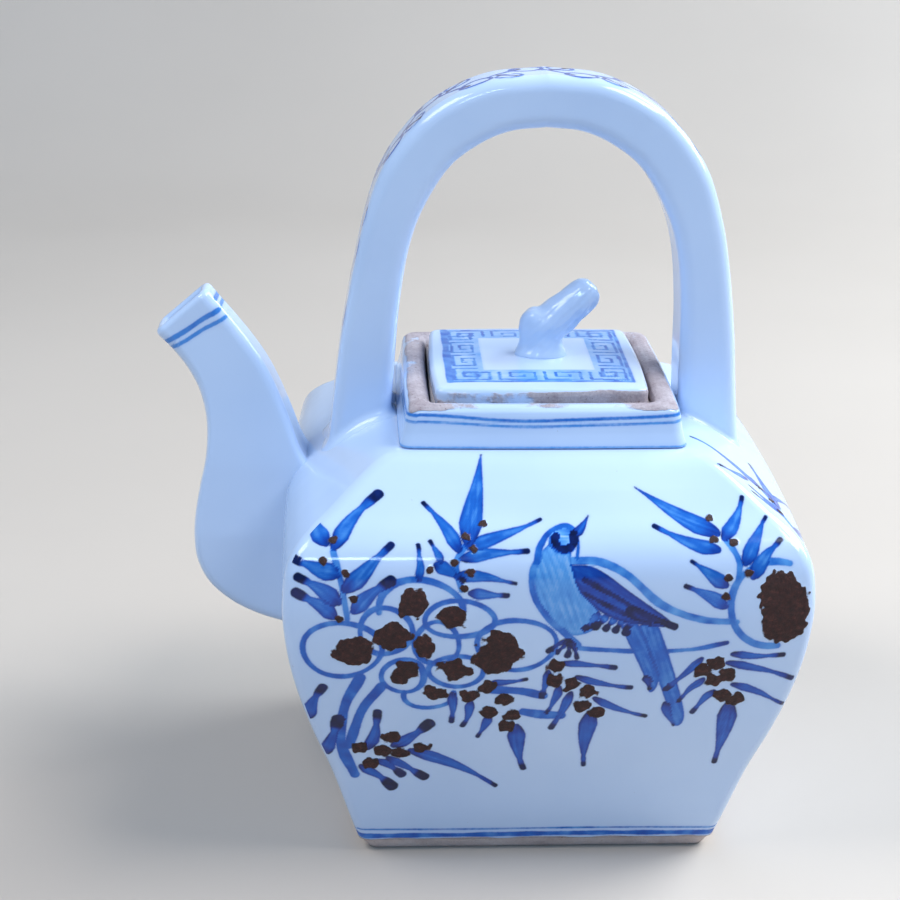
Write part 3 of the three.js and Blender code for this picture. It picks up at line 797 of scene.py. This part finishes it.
def sweep_rings(first, second, depth_at, edge, steps, inset=0.0):
    """Rings of a flat bar whose two narrow faces follow the two curves in the X-Z plane."""
    rings = []
    for a, b in zip(first, second):
        middle, out = (a + b) / 2, a - b
        thick = np.linalg.norm(out)
        out = out / thick
        half_deep = float(depth_at(middle[1])) / 2 - inset
        ring = section(thick / 2 - inset, half_deep, max(edge - inset, 0.4), *steps)
        level = middle[1] + ring[:, 0] * out[1]
        stretch = (depth_at(level) / 2 - inset) / half_deep
        rings.append(np.column_stack([middle[0] + ring[:, 0] * out[0], ring[:, 1] * stretch, level]))
    return np.array(rings)


def fillet(height, radius):
    """How far a surface flares out at a height above the surface it stands on."""
    rest = np.clip(radius - height, 0, radius)
    return radius - np.sqrt(radius**2 - rest**2)


# ---- pieces -------------------------------------------------------------------------------
def make_walls(glaze):
    wall("front_wall", 0, paint_front, glaze, columns=300, rows=300)
    wall("rear_wall", 1, paint_rear, glaze, columns=170, rows=170)
    wall("back_wall", 2, paint_back, glaze, columns=170, rows=170)
    wall("spout_wall", 3, paint_spout_side, glaze, columns=170, rows=170)


def make_foot(biscuit):
    points, faces, _ = square_lathe(dense(FOOT_OUTLINE, 0.9, True), CORNER_RADIUS, 0.0, 60, 8)
    make("foot_rim", "pot", points, faces, biscuit)


def make_collar(glaze):
    outline = dense(COLLAR_OUTLINE, 0.55, True)
    points, faces, run = square_lathe(outline, CORNER_RADIUS, COLLAR_SWELL, 110, 10)
    reach = np.maximum(np.abs(points[:, 0]), np.abs(points[:, 1]))
    canvas = Canvas(run, points[:, 2])
    paint_collar(canvas, points[:, 2])
    canvas.ink[reach < COLLAR_PAINTED_FROM] = 0
    worn = ripple(points[:, 0], points[:, 1], 16, 12) + 0.5 * ripple(points[:, 0], points[:, 1], 5, 13)
    side = ease(8, 30, np.abs(points[:, 0]))
    top = ease(122.0, 123.1, points[:, 2] + 0.35 * worn) * ease(36.2, 34.6, reach)
    edge = ease(31.2, 29.9, reach)
    bare = np.clip(top * (0.18 + 0.62 * side + 0.22 * worn) + (0.3 + 0.5 * side) * edge, 0, 1)
    make("neck_collar", "pot", points, faces, glaze, canvas, bare)


def make_lid(glaze):
    outline = dense(LID_OUTLINE[:6], 0.8) + dense(LID_OUTLINE[5:], 0.42)[1:]
    points, faces, _ = square_lathe(outline, LID_CORNER, LID_SWELL, 110, 6, closed=False)
    piece = make("lid_plate", "lid", points, faces, glaze)
    weld(piece)
    pierce(piece, (0, VENT_OFFSET), VENT_RADIUS, (LID_OUTLINE[0][1] - 2, LID_OUTLINE[-1][1] + 2))
    points = points_of(piece)
    canvas = Canvas(points[:, 0], points[:, 1])
    paint_lid(canvas)
    canvas.ink[points[:, 2] < LID_PAINTED_FROM] = 0
    reach = np.maximum(np.abs(points[:, 0]), np.abs(points[:, 1]))
    worn = ripple(points[:, 0], points[:, 2] * 2, 7, 21)
    bulk = 0.42 + 0.4 * ease(-12, 6, points[:, 0]) + 0.12 * worn
    side = ease(126.4, 125.4, points[:, 2] + 0.4 * worn) * bulk
    for name, values in (("ink", canvas.ink), ("tone", canvas.tone), ("bare", side * ease(26, 27.2, reach)),
                         ("iron", canvas.iron)):
        keep_field(piece.data, name, values)


def points_of(piece):
    flat = np.zeros(len(piece.data.vertices) * 3)
    piece.data.vertices.foreach_get("co", flat)
    return flat.reshape(-1, 3) / MM - [AXIS_X / MM, 0, 0]


def weld(piece, near=1e-6):
    tidy = bmesh.new()
    tidy.from_mesh(piece.data)
    bmesh.ops.remove_doubles(tidy, verts=tidy.verts, dist=near)
    bmesh.ops.dissolve_degenerate(tidy, edges=tidy.edges, dist=near)
    bmesh.ops.recalc_face_normals(tidy, faces=tidy.faces)
    tidy.to_mesh(piece.data)
    tidy.free()


def pierce(piece, centre, radius, levels, steps=32):
    """Cuts an upright round hole through a piece."""
    rim = [(centre[0] + radius * math.cos(a), centre[1] + radius * math.sin(a))
           for a in np.linspace(0, 2 * math.pi, steps, endpoint=False)]
    points = [(x, y, z) for z in levels for x, y in rim]
    faces = grid_faces(2, steps, closed=True)
    faces += [list(range(steps))[::-1], list(range(steps, 2 * steps))]
    mesh = bpy.data.meshes.new("drill")
    mesh.from_pydata((np.array(points) * MM + [AXIS_X, 0, 0]).tolist(), [], faces)
    drill = bpy.data.objects.new("drill", mesh)
    bpy.context.scene.collection.objects.link(drill)
    cut = piece.modifiers.new("cut", "BOOLEAN")
    cut.operation = "DIFFERENCE"
    cut.solver = "EXACT"
    cut.object = drill
    settle(piece)
    bpy.data.objects.remove(drill)


def settle(piece):
    """Turns a piece's modifiers into plain mesh."""
    bpy.context.view_layer.update()
    shaped = piece.evaluated_get(bpy.context.evaluated_depsgraph_get())
    mesh = bpy.data.meshes.new_from_object(shaped)
    piece.modifiers.clear()
    piece.data = mesh


def lathe(outline):
    angle = np.linspace(0, 2 * math.pi, LATHE_STEPS, endpoint=False)
    rings = [
        np.column_stack([radius * np.cos(angle), radius * np.sin(angle), np.full(LATHE_STEPS, level)])
        for radius, level in outline
    ]
    return np.vstack(rings), grid_faces(len(rings), LATHE_STEPS, closed=True)


def make_knob(glaze):
    """Stump and branch are grown into one skin, then given the dents of modelled clay."""
    stump, stump_faces = lathe(smooth_curve(STUMP_OUTLINE[1:], 40).tolist())
    branch, branch_faces = lathe(smooth_curve(BRANCH_OUTLINE, 40).tolist())
    c, s = math.cos(BRANCH_ANGLE), math.sin(BRANCH_ANGLE)
    tilted = np.column_stack([c * branch[:, 0] + s * branch[:, 2], branch[:, 1],
                              -s * branch[:, 0] + c * branch[:, 2]]) + BRANCH_START
    points = np.vstack([stump * [1, KNOB_OVAL, 1], tilted]) + [KNOB_X, KNOB_Y, 0]
    faces = stump_faces + [[a + len(stump) for a in f] for f in branch_faces]
    faces.append(list(range(LATHE_STEPS)))
    piece = make("lid_knob", "lid", points, faces, glaze)
    weld(piece)
    skin = piece.modifiers.new("skin", "REMESH")
    skin.mode = "VOXEL"
    skin.voxel_size = 0.5 * MM
    soften = piece.modifiers.new("soften", "SMOOTH")
    soften.factor = 0.6
    soften.iterations = 9
    settle(piece)
    mesh = piece.data
    dress(mesh, glaze)
    points = points_of(piece)
    normals = np.array([n.vector[:] for n in mesh.vertex_normals])
    dent = 0.16 * ripple(points[:, 0] + points[:, 1], points[:, 2], 6, 41)
    dent += 0.10 * ripple(points[:, 1], points[:, 2] - points[:, 0], 3.4, 42)
    dent *= ease(STUMP_OUTLINE[1][1] + 0.5, STUMP_OUTLINE[1][1] + 3, points[:, 2])
    moved = (points + normals * dent[:, None]) * MM + [AXIS_X, 0, 0]
    mesh.vertices.foreach_set("co", moved.ravel())
    mesh.update()
    mesh.shade_smooth()


def handle_depth(level):
    return np.full(np.shape(level), HANDLE_DEPTH)


def make_handle(glaze):
    steps = 250
    outer, inner = smooth_curve(HANDLE_OUTER, steps), smooth_curve(HANDLE_INNER, steps)
    outer = np.vstack([outer * [-1, 1], outer[-2::-1]])
    inner = np.vstack([inner * [-1, 1], inner[-2::-1]])
    rings = sweep_rings(outer, inner, handle_depth, HANDLE_EDGE, (8, 36))
    columns = rings.shape[1]
    middle = ((outer + inner) / 2)[:, None, :]
    floor = shoulder_level(rings[..., 0], rings[..., 1])
    away_x = rings[..., 0] - middle[..., 0]
    away_y = rings[..., 1]
    size = np.maximum(np.hypot(away_x, away_y), 1e-6)
    sideways = np.abs(away_y) / size
    radius = np.where(rings[..., 0] < 0, 1.2 + 2.4 * sideways, 1.2)
    flare = fillet(rings[..., 2] - floor, radius)
    rings[..., 0] += flare * away_x / size
    rings[..., 1] += flare * away_y / size
    moved = flare > 0
    rings[..., 2] += np.where(moved, shoulder_level(rings[..., 0], rings[..., 1]) - floor, 0)
    rings[..., 0] += HANDLE_LEAN * ease(*HANDLE_LEAN_LEVELS, rings[..., 2])
    for end in (0, -1):
        rings[end, :, 2] = shoulder_level(rings[end, :, 0], rings[end, :, 1]) - EMBED
    points = rings.reshape(-1, 3)
    faces = grid_faces(len(rings), columns, closed=True)
    faces += [list(range(columns)), list(range(len(points) - columns, len(points)))]
    run = length_along(outer)
    run -= run[len(run) // 2]
    canvas = Canvas(points[:, 1], np.repeat(run, columns))
    paint_handle(canvas)
    thick = np.linalg.norm(outer - inner, axis=1)[:, None]
    out = (outer - inner)[:, None, :] / thick[..., None]
    lift = ((rings[..., [0, 2]] - middle) * out).sum(-1) / (thick / 2)
    canvas.ink[lift.ravel() < 0.45] = 0
    make("handle", "pot", points, faces, glaze, canvas)


def spout_depth(level):
    return SPOUT_DEPTH * look_up(SPOUT_TAPER, level)


def make_spout(glaze):
    steps = 170
    upper, lower = smooth_curve(SPOUT_UPPER, steps), smooth_curve(SPOUT_LOWER, steps)
    around = (36, 18)
    outer = sweep_rings(upper, lower, spout_depth, SPOUT_EDGE, around)
    columns = outer.shape[1]
    tip = (upper[-1] - lower[-1]) / np.linalg.norm(upper[-1] - lower[-1])
    facing = np.array([-tip[1], 0, tip[0]])
    limit = EMBED - wall_reach(outer[..., 1], outer[..., 2])
    limit = limit - 0.02 * np.arange(len(outer))[:, None]
    hidden = (outer[..., 0] > limit) & (outer[..., 2] < SPOUT_ROOT_TOP)
    outer[..., 0] = np.where(hidden, limit, outer[..., 0])
    lip = []
    for turn in np.linspace(0, math.pi, 9)[1:]:
        inset = SPOUT_WALL / 2 * (1 - math.cos(turn))
        ring = sweep_rings(upper[-1:], lower[-1:], spout_depth, SPOUT_EDGE, around, inset)[0]
        lip.append(ring + facing * LIP_RISE * math.sin(turn))
    inner = sweep_rings(upper[::-4], lower[::-4], spout_depth, SPOUT_EDGE, around, SPOUT_WALL)[1:]
    rings = np.vstack([outer, np.array(lip), inner])
    points = rings.reshape(-1, 3)
    faces = grid_faces(len(rings), columns, closed=True)
    faces += ring_to_ring((len(rings) - 1) * columns, 0, columns)
    canvas = Canvas(points[:, 1], points[:, 2])
    centre = (upper[-1] + lower[-1]) / 2
    back = -(points - [centre[0], 0, centre[1]]) @ facing
    everywhere = np.arange(len(points))
    along = (points[:, [0, 2]] - centre) @ tip
    slant = np.where(along < 9.0, 0.15 * along, -1.3)
    wave = 0.2 * ripple(points[:, 0], points[:, 1], 12, 5)
    stop = np.maximum(np.abs(along + 0.3) - 8.4, 0) * (along < 9.0)
    canvas.lay(everywhere, np.hypot(back - 3.9 - slant + wave, stop) - 0.7, 0.34)
    canvas.lay(everywhere, np.hypot(back - 6.3 - 1.2 * slant + wave, stop) - 0.55, 0.3)
    canvas.ink[(len(outer) + 2) * columns:] = 0
    make("spout", "pot", points, faces, glaze, canvas)


# ---- materials ----------------------------------------------------------------------------
def colour(red, green, blue):
    """Linear colour from the usual 0-255 steps."""
    return tuple(
        c / 12.92 if c <= 0.04045 else ((c + 0.055) / 1.055) ** 2.4
        for c in (red / 255, green / 255, blue / 255)
    ) + (1.0,)


class Nodes:
    """Short names for building one material's node tree."""

    def __init__(self, name):
        self.material = bpy.data.materials.new(name)
        self.material.use_nodes = True
        self.tree = self.material.node_tree
        self.shader = self.tree.nodes["Principled BSDF"]

    def link(self, out, into):
        self.tree.links.new(out, into)

    def feed(self, socket, value):
        if isinstance(value, bpy.types.NodeSocket):
            self.link(value, socket)
        else:
            socket.default_value = value

    def field(self, name):
        node = self.tree.nodes.new("ShaderNodeAttribute")
        node.attribute_name = name
        return node.outputs["Fac"]

    def noise(self, scale, detail=3.0, rough=0.5):
        """Noise over the object's own space; scale is in bumps per metre."""
        node = self.tree.nodes.new("ShaderNodeTexNoise")
        node.inputs["Scale"].default_value = scale
        node.inputs["Detail"].default_value = detail
        node.inputs["Roughness"].default_value = rough
        place = self.tree.nodes.new("ShaderNodeTexCoord")
        self.link(place.outputs["Object"], node.inputs["Vector"])
        return node.outputs["Fac"]

    def maths(self, operation, a, b=0.0, c=0.0):
        node = self.tree.nodes.new("ShaderNodeMath")
        node.operation = operation
        for socket, value in zip(node.inputs, (a, b, c)):
            self.feed(socket, value)
        return node.outputs[0]

    def step(self, value, low, high, to_low=0.0, to_high=1.0):
        node = self.tree.nodes.new("ShaderNodeMapRange")
        node.interpolation_type = "SMOOTHSTEP"
        self.link(value, node.inputs["Value"])
        node.inputs["From Min"].default_value = low
        node.inputs["From Max"].default_value = high
        node.inputs["To Min"].default_value = to_low
        node.inputs["To Max"].default_value = to_high
        return node.outputs["Result"]

    def ramp(self, value, stops):
        node = self.tree.nodes.new("ShaderNodeValToRGB")
        node.color_ramp.elements[0].position = stops[0][0]
        node.color_ramp.elements[0].color = stops[0][1]
        node.color_ramp.elements[1].position = stops[-1][0]
        node.color_ramp.elements[1].color = stops[-1][1]
        for position, shade in stops[1:-1]:
            node.color_ramp.elements.new(position).color = shade
        self.link(value, node.inputs["Fac"])
        return node.outputs["Color"]

    def mix(self, amount, a, b):
        node = self.tree.nodes.new("ShaderNodeMix")
        node.data_type = "RGBA"
        sockets = [s for s in node.inputs if s.enabled]
        for socket, value in zip(sockets, (amount, a, b)):
            self.feed(socket, value)
        return [s for s in node.outputs if s.enabled][0]

    def bump(self, height, distance, strength=1.0, under=None):
        node = self.tree.nodes.new("ShaderNodeBump")
        node.inputs["Distance"].default_value = distance
        node.inputs["Strength"].default_value = strength
        self.link(height, node.inputs["Height"])
        if under is not None:
            self.link(under, node.inputs["Normal"])
        return node.outputs["Normal"]


PORCELAIN = [(0.3, colour(194, 215, 244)), (0.7, colour(204, 223, 249))]
COBALT = [
    (0.0, colour(168, 202, 240)), (0.22, colour(92, 160, 226)), (0.45, colour(34, 104, 196)),
    (0.65, colour(21, 68, 164)), (0.85, colour(15, 38, 112)), (1.0, colour(9, 18, 62)),
]
IRON = [(0.3, colour(34, 12, 8)), (0.55, colour(62, 26, 20)), (0.75, colour(100, 52, 42))]
CLAY = [
    (0.2, colour(128, 108, 110)), (0.42, colour(174, 159, 163)), (0.62, colour(200, 189, 192)),
    (0.85, colour(216, 208, 211)),
]
STAIN = colour(116, 86, 80)


def clay_colour(n):
    grain = n.mix(0.35, n.ramp(n.noise(160, 6, 0.65), CLAY), n.ramp(n.noise(1500, 3, 0.6), CLAY))
    specks = n.step(n.noise(900, 4, 0.7), 0.60, 0.70)
    return n.mix(n.maths("MULTIPLY", specks, 0.75), grain, STAIN)


def frayed(n, name, noise, amount, low, high):
    """Mask of a painted field whose edge is broken up by noise."""
    shake = n.maths("MULTIPLY_ADD", noise, amount, -amount / 2)
    return n.step(n.maths("ADD", n.field(name), shake), low, high)


def glaze_material():
    """Clear bluish glaze over white clay, cobalt under it, iron paint and bare clay where marked."""
    n = Nodes("white_glaze_painted")
    white = n.ramp(n.noise(22, 3, 0.5), PORCELAIN)
    pores = n.step(n.noise(700, 2, 0.5), 0.76, 0.80)
    white = n.mix(n.maths("MULTIPLY", pores, 0.25), white, colour(150, 150, 160))

    ink = frayed(n, "ink", n.noise(900, 4, 0.6), 0.16, 0.38, 0.62)
    halo = n.step(n.field("ink"), 0.02, 0.5, 0.0, 0.16)
    uneven = n.maths("MULTIPLY_ADD", n.noise(260, 5, 0.6), 0.34, -0.17)
    shade = n.ramp(n.maths("ADD", n.field("tone"), uneven), COBALT)
    body = n.mix(halo, white, colour(120, 160, 228))
    body = n.mix(ink, body, shade)

    clay = frayed(n, "bare", n.noise(420, 5, 0.6), 0.6, 0.38, 0.62)
    body = n.mix(clay, body, clay_colour(n))

    crust = frayed(n, "iron", n.noise(900, 4, 0.6), 0.44, 0.42, 0.6)
    body = n.mix(crust, body, n.ramp(n.noise(800, 5, 0.7), IRON))
    n.link(body, n.shader.inputs["Base Color"])

    matt = n.maths("MAXIMUM", n.maths("MULTIPLY", crust, 0.52), n.maths("MULTIPLY", clay, 0.62))
    gloss = n.step(n.noise(90, 3), 0.3, 0.7, 0.07, 0.14)
    n.link(n.maths("ADD", gloss, matt), n.shader.inputs["Roughness"])
    n.shader.inputs["IOR"].default_value = 1.5

    flow = n.bump(n.noise(55, 2, 0.4), 0.0010, 0.22)
    rough = n.maths("MULTIPLY", n.maths("MAXIMUM", crust, clay), n.noise(1100, 5, 0.7))
    n.link(n.bump(rough, 0.0006, 0.9, under=flow), n.shader.inputs["Normal"])
    return n.material


def biscuit_material():
    """Unglazed pinkish grey clay with brown staining."""
    n = Nodes("bare_biscuit_clay")
    stain = n.step(n.noise(60, 4, 0.6), 0.52, 0.74, 0.0, 0.35)
    washed = n.mix(0.4, clay_colour(n), colour(236, 218, 202))
    n.link(n.mix(stain, washed, STAIN), n.shader.inputs["Base Color"])
    n.link(n.step(n.noise(500, 3), 0.3, 0.7, 0.62, 0.85), n.shader.inputs["Roughness"])
    n.link(n.bump(n.noise(1200, 5, 0.7), 0.0004, 0.8), n.shader.inputs["Normal"])
    return n.material


def floor_material():
    n = Nodes("pale_floor")
    n.link(n.ramp(n.noise(3, 3), [(0.3, colour(196, 184, 171)), (0.7, colour(202, 190, 177))]),
           n.shader.inputs["Base Color"])
    n.shader.inputs["Roughness"].default_value = 0.75
    return n.material


# ---- room, light and camera ---------------------------------------------------------------
def make_floor():
    """Plain floor that curves up into a backdrop, all pale."""
    width, front, back, rise = 7.0, -3.5, 1.2, 2.2
    bend = 0.5
    profile = [(front, 0.0), (back - bend, 0.0)]
    profile += [(back - bend + bend * math.sin(a), bend - bend * math.cos(a))
                for a in np.linspace(0, math.pi / 2, 24)[1:]]
    profile.append((back, rise))
    points = [(x, y, z) for y, z in profile for x in (-width / 2, width / 2)]
    mesh = bpy.data.meshes.new("floor")
    mesh.from_pydata(points, [], [f[::-1] for f in grid_faces(len(profile), 2)])
    mesh.shade_smooth()
    mesh.materials.append(floor_material())
    floor = bpy.data.objects.new("floor", mesh)
    bpy.context.scene.collection.objects.link(floor)


def area_light(name, place, target, size, power, tint):
    light = bpy.data.lights.new(name, "AREA")
    light.shape = "RECTANGLE"
    light.size, light.size_y = size
    light.energy = power
    light.color = tint
    lamp = bpy.data.objects.new(name, light)
    lamp.location = place
    lamp.rotation_euler = (Vector(target) - Vector(place)).to_track_quat("-Z", "Y").to_euler()
    bpy.context.scene.collection.objects.link(lamp)


def make_lights():
    middle = (AXIS_X, 0, 0.09)
    daylight = (0.80, 0.90, 1.0)
    area_light("window", (0.95, 0.45, 0.75), middle, (0.8, 0.7), 17, daylight)
    area_light("front_strip", (-0.22, -1.12, 0.86), middle, (0.36, 0.12), 2.2, (0.62, 0.82, 1.0))
    area_light("top_right", (0.72, -0.24, 1.10), middle, (0.6, 0.5), 10.0, (0.97, 0.98, 1.0))
    area_light("top_left", (-0.72, -0.24, 1.10), middle, (0.6, 0.5), 7.2, (0.97, 0.98, 1.0))
    world = bpy.data.worlds.new("room")
    world.use_nodes = True
    world.node_tree.nodes["Background"].inputs["Color"].default_value = (0.25, 0.54, 1.0, 1)
    world.node_tree.nodes["Background"].inputs["Strength"].default_value = 0.41
    bpy.context.scene.world = world


CAMERA_PLACE = (-44.8, -508.5, 283.3)  # millimetres from the pot's axis and the table
CAMERA_TURN = 0.043  # radians towards +X
CAMERA_DIP = 0.347
CAMERA_ROLL = 0.012
LENS = 77.3
SENSOR = 36.0
NEAR_CLIP = 0.01
FAR_CLIP = 20.0


def make_camera():
    data = bpy.data.cameras.new("camera")
    data.lens, data.sensor_width = LENS, SENSOR
    data.sensor_fit = "HORIZONTAL"
    data.clip_start, data.clip_end = NEAR_CLIP, FAR_CLIP
    ahead = Vector((math.sin(CAMERA_TURN) * math.cos(CAMERA_DIP),
                    math.cos(CAMERA_TURN) * math.cos(CAMERA_DIP), -math.sin(CAMERA_DIP)))
    level = Vector((math.cos(CAMERA_TURN), -math.sin(CAMERA_TURN), 0))
    above = level.cross(ahead)
    right = level * math.cos(CAMERA_ROLL) + above * math.sin(CAMERA_ROLL)
    up = above * math.cos(CAMERA_ROLL) - level * math.sin(CAMERA_ROLL)
    camera = bpy.data.objects.new("camera", data)
    turn = Matrix((right, up, -ahead)).transposed()
    camera.matrix_world = turn.to_4x4()
    camera.location = Vector(CAMERA_PLACE) * MM + Vector((AXIS_X, 0, 0))
    bpy.context.scene.collection.objects.link(camera)
    bpy.context.scene.camera = camera


def dress(mesh, material):
    mesh.materials.clear()
    mesh.materials.append(material)


# ---- scene --------------------------------------------------------------------------------
glaze = glaze_material()
biscuit = biscuit_material()
make_walls(glaze)
make_foot(biscuit)
make_collar(glaze)
make_lid(glaze)
make_knob(glaze)
make_handle(glaze)
make_spout(glaze)
dress(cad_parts["base_slab"].data, glaze)
dress(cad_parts["lid_flange"].data, biscuit)
dress(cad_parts["lid_ledge"].data, biscuit)
make_floor()
make_lights()
make_camera()
bpy.context.scene.view_settings.view_transform = "Standard"
